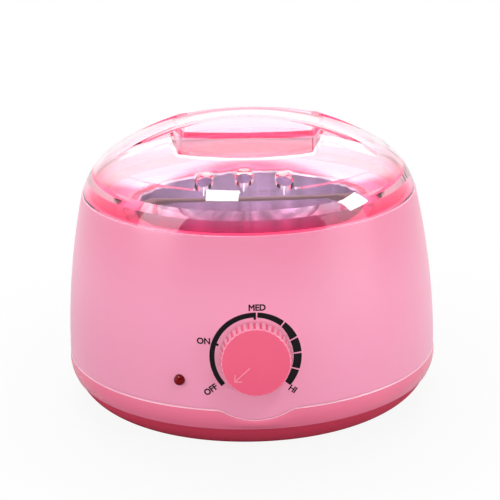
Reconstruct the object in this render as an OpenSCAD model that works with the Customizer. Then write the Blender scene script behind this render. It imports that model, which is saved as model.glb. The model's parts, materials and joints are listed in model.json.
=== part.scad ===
// Wax warmer: a round heated body with a lift-out pot, a clear domed lid and a front control knob.
// Millimetres, +Z up, the knob faces -Y, and the origin is on the table under the body's axis.

/* [Body shell] */
// Widest diameter of the body, at the seam with the base
body_d = 180; // [165:0.5:195]
// Height of the seam above the table
seam_z = 22; // [20:0.5:25]
// Outer diameter of the top rim that carries the lid
rim_d = 161.4; // [158:0.2:170]
// Height of the top rim above the table
rim_z = 101.5; // [97:0.5:110]
// How far the wall bulges out from a straight cone
wall_bulge = 2.2; // [1:0.1:4]
// Wall thickness of the shell
shell_t = 2.5; // [2:0.1:3]
// Width of the rim between the outside and the recess
rim_w = 4.7; // [4:0.1:5.5]
// Depth of the ledge for the heating cup below the rim
ledge_drop = 10.4; // [8:0.2:12]
// Thickness of the ledge
ledge_t = 2.5; // [2:0.1:4]
// Radius of the lobe below the knob, where the shell dips into the base
lobe_r = 30; // [28:0.5:31]
// Gap in the seam round the lobe
seam_gap = 0.2; // [0.1:0.05:0.4]

/* [Base] */
// Diameter of the plinth where it nears the table
plinth_d = 158.4; // [150:0.2:164]
// Height of the crease between plinth and band above the table
crease_z = 11.3; // [10.5:0.1:12]
// Diameter of the band at the crease
crease_d = 176.8; // [172:0.2:178]
// How far the band stands out over the plinth at the crease
crease_step = 1.2; // [0.5:0.1:2.5]
// How far the plinth bulges out from a straight cone
plinth_bulge = 1.2; // [0.6:0.1:1.6]
// How far the band above the crease bulges out from a straight cone
band_bulge = 0.8; // [0.5:0.1:1.2]
// Thickness of the base's floor and walls
base_t = 2.5; // [2.2:0.1:3]
// Height of the locating lip above the seam
lip_h = 5; // [3:0.5:7]
// Thickness of the locating lip
lip_t = 2.7; // [2:0.1:3]
// Gap between the lip and the shell's wall
lip_gap = 0.3; // [0.2:0.05:0.5]
// Diameter of the circle that the screw posts stand on
post_ring_d = 146; // [144:0.5:148]
// Diameter of a base post
post_d = 10; // [9:0.5:10.5]
// Diameter of a column that hangs from the shell's ledge
column_d = 8.4; // [7:0.2:9]
// Number of screws through the base
screw_count = 4; // [3:1:6]
// Shank diameter of a base screw
screw_d = 2.9; // [2.5:0.1:3.1]
// Head diameter of a base screw
screw_head_d = 6; // [5:0.2:6.4]
// Head height of a base screw
screw_head_h = 2.4; // [1.8:0.1:3]
// Length of a base screw below its head
screw_l = 20; // [16:1:26]
// Depth of the counterbore that hides a screw's head
screw_sink = 12.5; // [9:0.5:14]
// Gap round a screw in its holes
screw_gap = 0.1; // [0.05:0.05:0.3]
// Diameter of a rubber foot
foot_d = 14; // [10:0.5:16]
// How far a foot stands out below the base
foot_out = 1.5; // [1:0.1:2.5]
// Depth of a foot's pocket in the base
foot_sink = 1.5; // [1:0.1:1.6]
// Gap round a foot in its pocket
foot_gap = 0.15; // [0.1:0.05:0.3]
// Diameter of the circle that the feet stand on
foot_ring_d = 124; // [110:1:128]

/* [Lid] */
// Height of the lid above the rim
lid_h = 37.6; // [34:0.2:42]
// Radius of the lid's crown
crown_r = 125; // [115:1:140]
// Radius of the lid's shoulder
shoulder_r = 31.3; // [29:0.1:34]
// Wall thickness of the lid
lid_t = 2.4; // [1.8:0.1:2.8]
// How far the lid's edge stays inside the rim's outside
lid_inset = 0.35; // [0.2:0.05:0.8]
// Depth of the lid's locating skirt below the rim
skirt_drop = 5; // [3:0.5:7]
// Gap between the skirt and the recess
skirt_gap = 0.4; // [0.3:0.05:0.8]
// Thickness of the finger grip's bar at its middle
grip_w = 12; // [10:0.5:16]
// Depth of the finger scoops below the lid's top
grip_depth = 12.1; // [9:0.1:13]
// Half width of a scoop's flat floor
grip_half_l = 31; // [24:0.5:34]
// Run of a scoop's slanted ends
grip_end = 6; // [4:0.5:8]
// Radius of the bar's hollow faces, seen from above
grip_face_r = 200; // [160:5:260]
// Slope of a scoop's floor towards the bar, in degrees
grip_tilt = 2.6; // [1:0.1:4]
// Depth of the shallow groove that runs on past a scoop's ends
groove_depth = 2.4; // [1.5:0.1:3]
// Distance of the groove's front edge from the axis
groove_reach = 26; // [22:0.5:30]
// Radius of the groove's front edge, seen from above
groove_r = 128; // [110:2:150]
// Diameter of a vent hole
vent_d = 8.5; // [5:0.5:9]
// Distance between vent holes
vent_pitch = 18; // [14:0.5:22]
// Distance of the row of vent holes from the axis
vent_y = 60; // [57:0.5:63]
// Number of vent holes
vent_count = 3; // [1:2:5]
// Turn of the loose lid as it lies on the body, in degrees
lid_turn = -2.8; // [-10:0.2:10]

/* [Pot and heating cup] */
// Inner diameter of the pot
pot_d = 111; // [106:0.5:113]
// Wall thickness of the pot
pot_t = 1; // [0.8:0.1:1.4]
// Depth of the pot below its flange
pot_depth = 59; // [52:0.5:61]
// Outer radius of the pot's bottom corner
pot_corner = 8; // [5:0.5:12]
// Width of the pot's flange outside its wall
pot_flange_w = 4.5; // [4:0.1:5]
// Thickness of the pot's flange
pot_flange_t = 1.2; // [1:0.1:1.6]
// Radial gap between pot and cup, which takes the ends of the bail
cup_gap = 3; // [2.6:0.1:3.4]
// Gap under the pot's bottom
cup_floor_gap = 0.8; // [0.5:0.1:0.9]
// Wall thickness of the cup
cup_t = 1.2; // [0.8:0.1:1.5]
// Width of the cup's flange outside its wall
cup_flange_w = 3.9; // [3:0.1:5]
// Thickness of the cup's flange
cup_flange_t = 1.2; // [1:0.1:1.5]
// Gap round the cup in the shell's ledge
cup_seat_gap = 0.5; // [0.3:0.05:0.8]
// Wire diameter of the pot's bail
bail_wire_d = 2.4; // [2:0.1:2.8]
// Length of the bail's arms from pivot to bar
bail_arm = 13; // [11:0.5:15]
// Angle of the resting bail above the horizontal, in degrees
bail_rest = 27.3; // [22:0.1:35]
// Depth of the bail's pivot below the pot's top
bail_drop = 7; // [5:0.5:9]
// Gap between the resting bail and the pot's wall
bail_gap = 0.35; // [0.3:0.05:0.6]
// Running gap of the bail's ends in the pot's wall
bail_fit = 0.05; // [0.02:0.01:0.1]
// How far the bail's ends reach past the pot's wall
bail_end = 1.9; // [1.2:0.1:2]

/* [Control] */
// Height of the knob's axis at the wall
knob_z = 47; // [45:0.5:49]
// Diameter of the knob at the wall
knob_d = 33.4; // [30:0.2:36]
// Diameter of the knob's face
knob_face_d = 31; // [28:0.2:33]
// Height of the knob
knob_h = 7.2; // [6.4:0.2:12.4]
// Gap between knob and wall
knob_gap = 1; // [0.6:0.1:1.6]
// Wall thickness of the knob
knob_t = 1.8; // [1.4:0.1:2.6]
// Number of flutes round the knob
flute_count = 36; // [24:2:40]
// Diameter of a flute
flute_d = 2; // [1.4:0.1:2.2]
// Diameter of the knob's hub
hub_d = 11; // [10:0.5:14]
// Diameter of the control shaft
shaft_d = 6; // [5:0.1:6.4]
// Running gap of the shaft in the thermostat's neck
shaft_fit = 0.05; // [0.02:0.01:0.1]
// Depth of the flat on the shaft
shaft_flat = 1; // [0.8:0.1:1.4]
// Thickness of the spring clip between shaft and hub
clip_t = 0.5; // [0.3:0.05:0.6]
// Gap of the clip and the shaft in the hub
clip_gap = 0.05; // [0.03:0.01:0.1]
// Turn of the knob's pointer from straight up to off, in degrees
off_angle = 131; // [120:1:140]
// Diameter of the thermostat's threaded neck
neck_d = 9; // [8.4:0.1:10]
// Gap round the neck in the wall and in its nut
neck_gap = 0.1; // [0.05:0.05:0.2]
// Width across the flats of the neck's nut
nut_af = 12; // [11.5:0.1:14]
// Thickness of the neck's nut
nut_t = 2; // [1.6:0.1:2.4]
// Depth of the flat seat for the nut in the wall
nut_sink = 0.6; // [0.4:0.1:0.8]
// Width of the thermostat's block
stat_w = 26; // [22:1:28]
// Height of the thermostat's block
stat_h = 30; // [24:1:32]
// Depth of the thermostat's block
stat_t = 13; // [12.6:0.2:14]
// Thickness of the contact blades behind the block
blade_t = 0.6; // [0.4:0.1:0.8]
// Diameter of the indicator lamp
led_d = 5; // [3:0.5:6]
// Height of the indicator lamp
led_z = 34.9; // [33:0.5:38]
// Angle of the indicator lamp left of the knob, in degrees
led_angle = 22.7; // [21:0.1:26]
// Gap round the lamp in its hole
led_gap = 0.1; // [0.05:0.05:0.2]

/* [Heater and wiring] */
// Thickness of the heating band
band_t = 1.5; // [1:0.1:2]
// Height of the heating band
band_h = 36; // [28:1:38]
// Thickness of the insulating wrap
wrap_t = 3; // [2:0.1:3.2]
// Height of the insulating wrap
wrap_h = 40; // [38:1:42]
// Thickness of a strap
strap_t = 0.6; // [0.4:0.1:0.8]
// Width of a strap
strap_w = 5; // [3:0.5:6]
// Gap between nested rings round the cup
nest_gap = 0.1; // [0.05:0.05:0.2]
// Thickness of the shield plate that holds the cup down
plate_t = 1; // [0.8:0.1:1.2]
// Diameter of the shield plate
plate_d = 124; // [116:1:126]
// Diameter of the stud under the cup
stud_d = 5; // [4:0.5:6]
// Diameter of the thermal fuse
fuse_d = 4; // [3:0.1:4.2]
// Diameter of the hole for the mains cord
cord_hole_d = 6; // [5:0.1:6.2]
// Diameter of the cord gland's flanges
gland_d = 10; // [9.6:0.1:10.2]

/* [Hidden] */
$fn = 96;
fine_fn = 720;
cut = 1;
far = 400;
body_pink = "#ee8fb4";
base_pink = "#d9607f";
knob_pink = "#f0648c";
metal = "#c9c6cf";
steel = "#9aa0a6";

// Arcs that bulge by h between the points a and b: their radius, their centre and their reach at a height
function arc_r(a, b, h) = pow(norm(b - a), 2) / (8 * h) + h / 2;
function arc_c(a, b, h) = (a + b) / 2 - (arc_r(a, b, h) - h) * [b.y - a.y, a.x - b.x] / norm(b - a);
function arc_x(a, b, h, z) = arc_c(a, b, h).x + sqrt(pow(arc_r(a, b, h), 2) - pow(z - arc_c(a, b, h).y, 2));

// Wall of the shell
seam = [body_d / 2, seam_z];
rim = [rim_d / 2, rim_z];
wall_c = arc_c(seam, rim, wall_bulge);
wall_r = arc_r(seam, rim, wall_bulge);
ledge_z = rim_z - ledge_drop;
ledge_under = ledge_z - ledge_t;
recess_r = rim.x - rim_w;
function wall_at(z) = arc_x(seam, rim, wall_bulge, z);

// Base
plinth_low = [plinth_d / 2, foot_out];
plinth_top = [crease_d / 2 - crease_step, crease_z];
crease = [crease_d / 2, crease_z];
floor_z = foot_out + base_t;
lip_r = wall_at(seam_z + lip_h) - shell_t - lip_gap;
band_wall = seam.x - lip_r + lip_t;
lobe_back_r = seam.x - shell_t + seam_gap;
lobe_inset = 0.05;
post_top = seam_z;
screw_seat = foot_out + screw_sink;
post_angles = [for (i = [0:screw_count - 1]) (i + 0.5) * 360 / screw_count];

// Pot, cup and bail
cup_flange_top = ledge_z + cup_flange_t;
pot_top = cup_flange_top + pot_flange_t;
pot_r = pot_d / 2;
pot_out_r = pot_r + pot_t;
pot_floor = pot_top - pot_depth - pot_flange_t;
cup_r = pot_out_r + cup_gap;
cup_out_r = cup_r + cup_t;
cup_bottom = pot_floor - pot_t - cup_floor_gap - cup_t;
ledge_hole_r = cup_out_r + cup_seat_gap;
bail_z = pot_top - bail_drop;
elbow_over = 0.03;
bail_bar = [bail_arm * cos(bail_rest), bail_z + bail_arm * sin(bail_rest)];
bail_x = sqrt(pow(pot_r - bail_gap - bail_wire_d / 2, 2) - pow(bail_bar.x, 2));

// Lid: the shoulder's arc runs into the crown's arc, which it just crosses, and ends at the lid's edge
lid_rest = 0.04;
lid_low = rim_z + lid_rest;
lid_top = rim_z + lid_h;
crown_c = [0, lid_top - crown_r];
lid_edge = [rim.x - lid_inset, rim_z];
edge_far = norm(lid_edge - crown_c);
edge_u = (lid_edge - crown_c) / edge_far;
arc_cross = 0.02;
crown_gap = crown_r - shoulder_r + arc_cross;
along = (pow(crown_gap, 2) - pow(shoulder_r, 2) + pow(edge_far, 2)) / (2 * edge_far);
aside = sqrt(pow(crown_gap, 2) - pow(along, 2));
shoulder_c = crown_c + along * edge_u - aside * [edge_u.y, -edge_u.x];
touch_u = (shoulder_c - crown_c) / crown_gap;
skirt_r = recess_r - skirt_gap;
skirt_in = skirt_r - lid_t - shoulder_c.x;
skirt_top = shoulder_c.y + sqrt(pow(shoulder_r - lid_t, 2) - pow(skirt_in, 2)) + lid_t / 4;
scoop_floor = lid_top - grip_depth;
groove_low = scoop_floor - 4 * lid_t;

// Control axis, square to the wall at the knob's height
knob_tilt = asin((knob_z - wall_c.y) / wall_r);
knob_top = knob_gap + knob_h;
knob_roof = knob_top - knob_t;
knob_draft = atan((knob_d - knob_face_d) / 2 / knob_h);
flute_depth = 0.4;
end_gap = 0.4;
neck_over = 0.6;
neck_top = nut_t - nut_sink + neck_over;
hub_foot = neck_top + end_gap;
nut_r = nut_af / sqrt(3);
nut_seat_gap = 0.6;
nut_seat_r = nut_r + nut_seat_gap;
pad_rim = 3.5;
pad_r = nut_seat_r + pad_rim;
pad_t = 1.5;
pad_depth = shell_t + pad_t;
stat_back = pad_depth + stat_t;
stat_wall = 1.5;
blade_w = 6;
blade_tail = 7;
contact_d = 4;
shaft_r = shaft_d / 2;
shaft_in = stat_back - stat_wall;
shaft_out = knob_roof - end_gap;
flat_y = shaft_r - shaft_flat;
hub_flat_y = flat_y + clip_t + 2 * clip_gap;
clip_w = 2 * sqrt(pow(shaft_r, 2) - pow(flat_y + clip_gap + clip_t, 2));
clip_inset = 0.5;

// Arrow that stands up from the knob's face
arrow_w = 0.6;
arrow_t = 0.35;
arrow_in = 3.6;
arrow_edge = 2.5;
arrow_head = 3.4;
arrow_spread = 42;

// Indicator lamp
led_r = led_d / 2;
led_boss_wall = 2.2;
led_boss_r = led_r + led_boss_wall;
led_boss_l = 8;
led_out = 0.4;
led_flange_t = 1;
led_flange_w = 0.4;
holder_t = 1.2;
holder_grip = 4;
holder_lip = 0.6;
lead_d = 0.6;
lead_l = 4;
resistor_d = 2.4;
resistor_l = 7;

// Heater and wiring
band_r = cup_out_r + nest_gap;
wrap_r = band_r + band_t + nest_gap;
strap_r = wrap_r + wrap_t + nest_gap;
heat_mid = (cup_bottom + ledge_under) / 2;
band_split = 10;
fuse_y = -20;
fuse_l = 12;
fuse_z = cup_bottom - fuse_d / 2 - nest_gap;
fuse_lead_d = 1;
fuse_lead_l = 8;
clip_sheet = 0.7;
clip_foot = 6;
plate_z = post_top;
plate_top = plate_z + plate_t;
stud_nut_t = 4;
stud_over = 2;
stud_end = plate_z - stud_nut_t - stud_over;
block_y = 47;
block_size = [34, 14, 13];
pole_pitch = 11;
pole_row = 3.5;
pole_d = 4;
pole_floor = 6;
terminal_screw_h = 4;
slot_w = 0.9;
slot_depth = 0.8;
gland_z = (crease_z + seam_z) / 2;
gland_sink = 1.7;
gland_face = arc_x(crease, seam, band_bulge, gland_z);
gland_seat = gland_face - gland_sink;
gland_flange_t = 2;
gland_flange_w = 0.8;
gland_neck_d = gland_d - 2 * gland_flange_w;
gland_in = gland_face - band_wall - end_gap - gland_flange_t;
clamp_y = 70;
clamp_x = 9.5;
clamp_post_d = 6.4;
clamp_pinch = 0.2;
clamp_top = gland_z + cord_hole_d / 2 - clamp_pinch;
clamp_bar_t = 2;
clamp_bar_w = 8;
clamp_screw_d = 2;
clamp_screw_l = 8;
clamp_head_d = 4.4;
clamp_head_h = 1.6;

// Region inside an arc that bulges by h from a up to b, drawn in by an inset
module arc_side(a, b, h, inset = 0) {
    c = arc_c(a, b, h);
    intersection() {
        translate([0, a.y]) square([far, b.y - a.y]);
        union() {
            translate(c) circle(arc_r(a, b, h) - inset, $fn = fine_fn);
            if (c.x > 0) translate([0, a.y]) square([c.x, b.y - a.y]);
        }
    }
}

// Half section of a straight cup with a rounded bottom corner
module cup_2d(r, z0, z1, corner) {
    translate([0, z0]) square([r - corner, z1 - z0]);
    translate([r - corner, z0 + corner]) square([corner, z1 - z0 - corner]);
    translate([r - corner, z0 + corner]) intersection() {
        circle(corner);
        translate([0, -corner]) square(corner);
    }
}

// Half section of a ring
module ring_2d(r0, r1, z0, z1) {
    translate([r0, z0]) square([r1 - r0, z1 - z0]);
}

// Puts children on the knob's axis: X to the right, Y up the wall, Z out of the wall
module on_knob_axis() {
    translate([0, -wall_at(knob_z), knob_z]) rotate([90 - knob_tilt, 0, 0]) children();
}

// Puts children on the lamp's axis, Z out of the wall
module on_led_axis() {
    rotate([0, 0, -led_angle]) translate([0, -wall_at(led_z), led_z]) rotate([90, 0, 0]) children();
}

// Puts children at the back on the cord's axis, Z out of the wall
module on_cord_axis(y) {
    translate([0, y, gland_z]) rotate([-90, 0, 0]) children();
}

module at_posts() {
    for (a = post_angles) rotate([0, 0, a]) translate([post_ring_d / 2, 0, 0]) children();
}

module at_feet() {
    for (a = [0:90:270]) rotate([0, 0, a]) translate([foot_ring_d / 2, 0, 0]) children();
}

module at_clamp_posts(z) {
    for (side = [-1, 1]) translate([side * clamp_x, clamp_y, z]) children();
}

module at_poles() {
    for (i = [-1:1], side = [-1, 1])
        translate([i * pole_pitch, block_y + side * pole_row, floor_z + pole_floor]) children();
}

module lobe_cylinder(r) {
    on_knob_axis() translate([0, 0, -body_d / 4]) cylinder(r = r, h = body_d / 2);
}

module outer_shell() {
    color(body_pink) difference() {
        union() {
            rotate_extrude() difference() {
                arc_side(seam, rim, wall_bulge);
                intersection() {
                    arc_side(seam - [0, cut], rim, wall_bulge);
                    translate(wall_c) circle(wall_r - shell_t, $fn = fine_fn);
                    translate([0, seam_z - cut]) square([far, ledge_under - seam_z + cut]);
                }
                translate([0, ledge_z]) square([recess_r, far]);
                translate([0, ledge_under - cut]) square([ledge_hole_r, far]);
            }
            intersection() {
                lobe_cylinder(lobe_r);
                rotate_extrude() difference() {
                    arc_side(crease, seam, band_bulge, lobe_inset);
                    square([lobe_back_r, far]);
                }
            }
            at_posts() translate([0, 0, plate_top])
                cylinder(d = column_d, h = ledge_under - plate_top + cut);
            on_knob_axis() translate([0, 0, -pad_depth])
                cylinder(r = pad_r, h = pad_depth - shell_t / 2);
            on_led_axis() translate([0, 0, -led_boss_l])
                cylinder(r = led_boss_r, h = led_boss_l - shell_t / 2);
        }
        on_knob_axis() {
            translate([0, 0, -pad_depth - cut])
                cylinder(d = neck_d + 2 * neck_gap, h = pad_depth + 2 * cut);
            translate([0, 0, -nut_sink]) cylinder(r = nut_seat_r, h = 2 * cut);
        }
        on_led_axis() translate([0, 0, -led_boss_l - cut])
            cylinder(r = led_r + led_gap, h = led_boss_l + 2 * cut);
        at_posts() translate([0, 0, plate_top - cut])
            cylinder(d = screw_d + screw_gap, h = screw_seat + screw_l - plate_top + 2 * cut);
    }
}

module base_pan() {
    color(base_pink) difference() {
        union() {
            rotate_extrude() difference() {
                union() {
                    arc_side(plinth_low, plinth_top, plinth_bulge);
                    arc_side(crease, seam, band_bulge);
                    ring_2d(lip_r - lip_t, lip_r, seam_z - cut, seam_z + lip_h);
                }
                intersection() {
                    arc_side(plinth_low, plinth_top, plinth_bulge, base_t);
                    translate([0, floor_z]) square([far, far]);
                }
                arc_side(crease, seam, band_bulge, band_wall);
            }
            at_posts() translate([0, 0, floor_z - cut]) cylinder(d = post_d, h = post_top - floor_z + cut);
            at_clamp_posts(floor_z - cut) cylinder(d = clamp_post_d, h = clamp_top - floor_z + cut);
        }
        intersection() {
            lobe_cylinder(lobe_r + seam_gap);
            rotate_extrude() ring_2d(lip_r, far, crease_z, far);
        }
        at_posts() {
            translate([0, 0, foot_out - cut])
                cylinder(d = screw_head_d + 6 * screw_gap, h = screw_sink + cut);
            translate([0, 0, foot_out]) cylinder(d = screw_d + 4 * screw_gap, h = far);
        }
        at_feet() translate([0, 0, foot_out - cut])
            cylinder(r = foot_d / 2 + foot_gap, h = foot_sink + cut);
        at_clamp_posts(clamp_top - clamp_screw_l) cylinder(d = clamp_screw_d + 2 * screw_gap, h = far);
        on_cord_axis(gland_seat) cylinder(d = gland_d + 2 * neck_gap, h = far);
        on_cord_axis(gland_in) {
            cylinder(d = gland_d + 2 * neck_gap, h = gland_flange_t + end_gap);
            cylinder(d = gland_neck_d + 2 * neck_gap, h = far);
        }
    }
}

module rubber_feet() {
    color("#3a3638") at_feet() cylinder(d = foot_d, h = foot_out + foot_sink);
}

module base_screws() {
    color(steel) at_posts() difference() {
        union() {
            translate([0, 0, screw_seat - screw_head_h]) cylinder(d = screw_head_d, h = screw_head_h);
            translate([0, 0, screw_seat - cut]) cylinder(d = screw_d, h = screw_l + cut);
        }
        for (turn = [0, 90]) translate([0, 0, screw_seat - screw_head_h]) rotate([0, 0, turn])
            cube([screw_head_d - 2 * slot_w, slot_w, 2 * slot_depth], center = true);
    }
}

module heater_cup() {
    color(metal) rotate_extrude() difference() {
        union() {
            cup_2d(cup_out_r, cup_bottom, ledge_z, pot_corner);
            ring_2d(0, cup_out_r + cup_flange_w, ledge_z, cup_flange_top);
        }
        cup_2d(cup_r, cup_bottom + cup_t, cup_flange_top + cut, pot_corner - cup_t);
    }
}

module cup_stud() {
    color(steel) translate([0, 0, stud_end]) cylinder(d = stud_d, h = cup_bottom - stud_end);
}

module stud_nut() {
    color(steel) translate([0, 0, plate_z - stud_nut_t]) difference() {
        cylinder(d = 2 * stud_d, h = stud_nut_t, $fn = 6);
        translate([0, 0, -cut]) cylinder(d = stud_d + 2 * nest_gap, h = stud_nut_t + 2 * cut);
    }
}

module heating_band() {
    color("#b98f5a") rotate([0, 0, 90 + band_split / 2]) rotate_extrude(angle = 360 - band_split)
        ring_2d(band_r, band_r + band_t, heat_mid - band_h / 2, heat_mid + band_h / 2);
}

module insulating_wrap() {
    color("#e8e3d4") rotate_extrude()
        ring_2d(wrap_r, wrap_r + wrap_t, heat_mid - wrap_h / 2, heat_mid + wrap_h / 2);
}

module wrap_straps() {
    color(steel) for (side = [-1, 1]) translate([0, 0, heat_mid + side * wrap_h / 4 - strap_w / 2]) {
        rotate_extrude() ring_2d(strap_r, strap_r + strap_t, 0, strap_w);
    }
}

module shield_plate() {
    color(steel) translate([0, 0, plate_z]) difference() {
        union() {
            cylinder(d = plate_d, h = plate_t);
            for (a = post_angles) rotate([0, 0, a]) {
                translate([0, -column_d / 2, 0]) cube([post_ring_d / 2, column_d, plate_t]);
                translate([post_ring_d / 2, 0, 0]) cylinder(d = column_d, h = plate_t);
            }
        }
        translate([0, 0, -cut]) cylinder(d = stud_d + 4 * nest_gap, h = plate_t + 2 * cut);
        at_posts() translate([0, 0, -cut]) cylinder(d = screw_d + 4 * screw_gap, h = plate_t + 2 * cut);
    }
}

module thermal_fuse() {
    color(metal) translate([0, fuse_y, fuse_z]) rotate([0, 90, 0]) {
        cylinder(d = fuse_d, h = fuse_l, center = true);
        cylinder(d = fuse_lead_d, h = fuse_l + 2 * fuse_lead_l, center = true);
    }
}

module fuse_clip() {
    sleeve_r = fuse_d / 2 + nest_gap;
    color(steel) translate([0, fuse_y, fuse_z]) rotate([90, 0, 90])
        linear_extrude(height = fuse_l / 2, center = true) {
            difference() {
                circle(sleeve_r + clip_sheet);
                circle(sleeve_r);
                translate([-far / 2, 0]) square(far);
            }
            for (side = [-1, 1]) mirror([(1 - side) / 2, 0]) {
                translate([sleeve_r, 0]) square([clip_sheet, cup_bottom - fuse_z]);
                translate([sleeve_r, cup_bottom - fuse_z - clip_sheet]) square([clip_foot, clip_sheet]);
            }
        }
}

module thermostat_block() {
    color("#e9e6e0") on_knob_axis() difference() {
        union() {
            translate([-stat_w / 2, -stat_h / 2, -stat_back]) cube([stat_w, stat_h, stat_t]);
            translate([0, 0, -stat_back + cut]) cylinder(d = neck_d, h = stat_back - cut + neck_top);
        }
        translate([0, 0, -shaft_in - shaft_fit]) cylinder(r = shaft_r + shaft_fit, h = far);
    }
}

module thermostat_neck_nut() {
    color(steel) on_knob_axis() translate([0, 0, -nut_sink]) difference() {
        cylinder(r = nut_r, h = nut_t, $fn = 6);
        translate([0, 0, -cut]) cylinder(d = neck_d + 2 * neck_gap, h = nut_t + 2 * cut);
    }
}

module contact_blades() {
    color("#c08a4a") on_knob_axis() for (side = [-1, 1]) {
        translate([side * stat_w / 4 - blade_w / 2, -stat_h / 2 - blade_tail, -stat_back - blade_t])
            cube([blade_w, stat_h, blade_t]);
        translate([side * stat_w / 4, 0, -stat_back - 3 * blade_t])
            cylinder(d = contact_d, h = 2 * blade_t);
    }
}

module control_shaft() {
    color(metal) on_knob_axis() rotate([0, 0, off_angle]) difference() {
        translate([0, 0, -shaft_in]) cylinder(r = shaft_r, h = shaft_in + shaft_out);
        translate([-shaft_r, flat_y, neck_top]) cube([shaft_d, shaft_d, shaft_out]);
    }
}

module control_knob() {
    face_r = knob_face_d / 2;
    tip_y = face_r - arrow_edge;
    color(knob_pink) on_knob_axis() rotate([0, 0, off_angle]) {
        difference() {
            translate([0, 0, knob_gap]) cylinder(d1 = knob_d, d2 = knob_face_d, h = knob_h);
            difference() {
                translate([0, 0, knob_gap - cut])
                    cylinder(r = face_r - knob_t, h = knob_roof - knob_gap + cut);
                translate([0, 0, hub_foot]) cylinder(d = hub_d, h = knob_h);
            }
            translate([0, 0, hub_foot - cut]) intersection() {
                cylinder(r = shaft_r + clip_gap, h = knob_roof - hub_foot + cut);
                translate([-shaft_d, -far + hub_flat_y, 0]) cube([2 * shaft_d, far, far]);
            }
            for (i = [0:flute_count - 1]) rotate([0, 0, i * 360 / flute_count])
                translate([knob_d / 2 + flute_d / 2 - flute_depth, 0, knob_gap]) rotate([0, -knob_draft, 0])
                    translate([0, 0, -flute_d]) cylinder(d = flute_d, h = knob_h + 2 * flute_d, $fn = 24);
        }
        translate([-arrow_w / 2, arrow_in, knob_top - arrow_t])
            cube([arrow_w, tip_y - arrow_in, 2 * arrow_t]);
        for (side = [-1, 1]) translate([0, tip_y, knob_top - arrow_t]) rotate([0, 0, side * arrow_spread])
            translate([-arrow_w / 2, -arrow_head, 0]) cube([arrow_w, arrow_head, 2 * arrow_t]);
    }
}

module knob_clip() {
    color(steel) on_knob_axis() rotate([0, 0, off_angle])
        translate([-clip_w / 2, flat_y + clip_gap, hub_foot + clip_inset])
            cube([clip_w, clip_t, shaft_out - hub_foot - 2 * clip_inset]);
}

module indicator_lamp() {
    color("#8c0f18") on_led_axis() {
        translate([0, 0, -led_boss_l]) cylinder(r = led_r, h = led_boss_l + led_out);
        translate([0, 0, led_out]) intersection() {
            sphere(led_r);
            translate([-led_d, -led_d, 0]) cube([2 * led_d, 2 * led_d, led_d]);
        }
        translate([0, 0, -led_boss_l - led_flange_t]) cylinder(r = led_r + led_flange_w, h = led_flange_t);
    }
}

module lamp_holder() {
    color("#2b2b2e") on_led_axis() translate([0, 0, -led_boss_l - led_flange_t - holder_t]) difference() {
        cylinder(r = led_boss_r + 2 * nest_gap + holder_t, h = holder_t + led_flange_t + holder_grip);
        translate([0, 0, holder_t]) cylinder(r = led_boss_r + 2 * nest_gap, h = far);
        translate([0, 0, -cut]) cylinder(r = led_r - holder_lip, h = far);
    }
}

module lamp_resistor() {
    color("#6f8fb5") on_led_axis() translate([0, 0, -led_boss_l - led_flange_t]) {
        translate([0, 0, -lead_l]) cylinder(d = lead_d, h = lead_l);
        translate([0, 0, -lead_l - resistor_l]) cylinder(d = resistor_d, h = resistor_l);
    }
}

module terminal_block() {
    color("#efece4") difference() {
        translate([-block_size.x / 2, block_y - block_size.y / 2, floor_z]) cube(block_size);
        at_poles() cylinder(d = pole_d, h = far);
    }
}

module terminal_screws() {
    color("#b5904a") at_poles() difference() {
        cylinder(d = pole_d - 2 * nest_gap, h = terminal_screw_h);
        translate([-pole_d / 2, -slot_w / 2, terminal_screw_h - slot_depth])
            cube([pole_d, slot_w, 2 * slot_depth]);
    }
}

module cord_gland() {
    gland_l = gland_seat - gland_in;
    color("#4a4446") on_cord_axis(gland_in) difference() {
        union() {
            cylinder(d = gland_d, h = gland_flange_t);
            cylinder(d = gland_neck_d, h = gland_l + cut);
            translate([0, 0, gland_l]) cylinder(d = gland_d, h = gland_flange_t);
        }
        translate([0, 0, -cut]) cylinder(d = cord_hole_d, h = gland_l + gland_flange_t + 2 * cut);
    }
}

module cord_clamp() {
    color("#efece4") difference() {
        translate([-clamp_x - clamp_bar_w / 2, clamp_y - clamp_bar_w / 2, clamp_top])
            cube([2 * clamp_x + clamp_bar_w, clamp_bar_w, clamp_bar_t]);
        at_clamp_posts(clamp_top - cut) cylinder(d = clamp_screw_d + 4 * screw_gap, h = far);
    }
}

module clamp_screws() {
    color(steel) at_clamp_posts(clamp_top + clamp_bar_t) {
        cylinder(d = clamp_head_d, h = clamp_head_h);
        translate([0, 0, -clamp_screw_l]) cylinder(d = clamp_screw_d, h = clamp_screw_l);
    }
}

module inner_pot() {
    color(metal) difference() {
        rotate_extrude() difference() {
            union() {
                cup_2d(pot_out_r, pot_floor - pot_t, cup_flange_top, pot_corner);
                ring_2d(0, pot_out_r + pot_flange_w, cup_flange_top, pot_top);
            }
            cup_2d(pot_r, pot_floor, pot_top + cut, pot_corner - pot_t);
        }
        translate([0, 0, bail_z]) rotate([0, 90, 0])
            cylinder(r = bail_wire_d / 2 + bail_fit, h = 2 * pot_out_r + 2 * cut, center = true);
    }
}

module pot_bail() {
    wire_r = bail_wire_d / 2;
    color(steel) {
        translate([0, bail_bar.x, bail_bar.y]) rotate([0, 90, 0])
            cylinder(r = wire_r, h = 2 * bail_x, center = true);
        for (side = [-1, 1]) translate([side * bail_x, 0, bail_z]) {
            sphere(wire_r + elbow_over);
            rotate([0, side * 90, 0]) cylinder(r = wire_r, h = pot_out_r + bail_end - bail_x);
            rotate([bail_rest - 90, 0, 0]) cylinder(r = wire_r, h = bail_arm);
            rotate([bail_rest - 90, 0, 0]) translate([0, 0, bail_arm]) sphere(wire_r + elbow_over);
        }
    }
}

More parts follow.
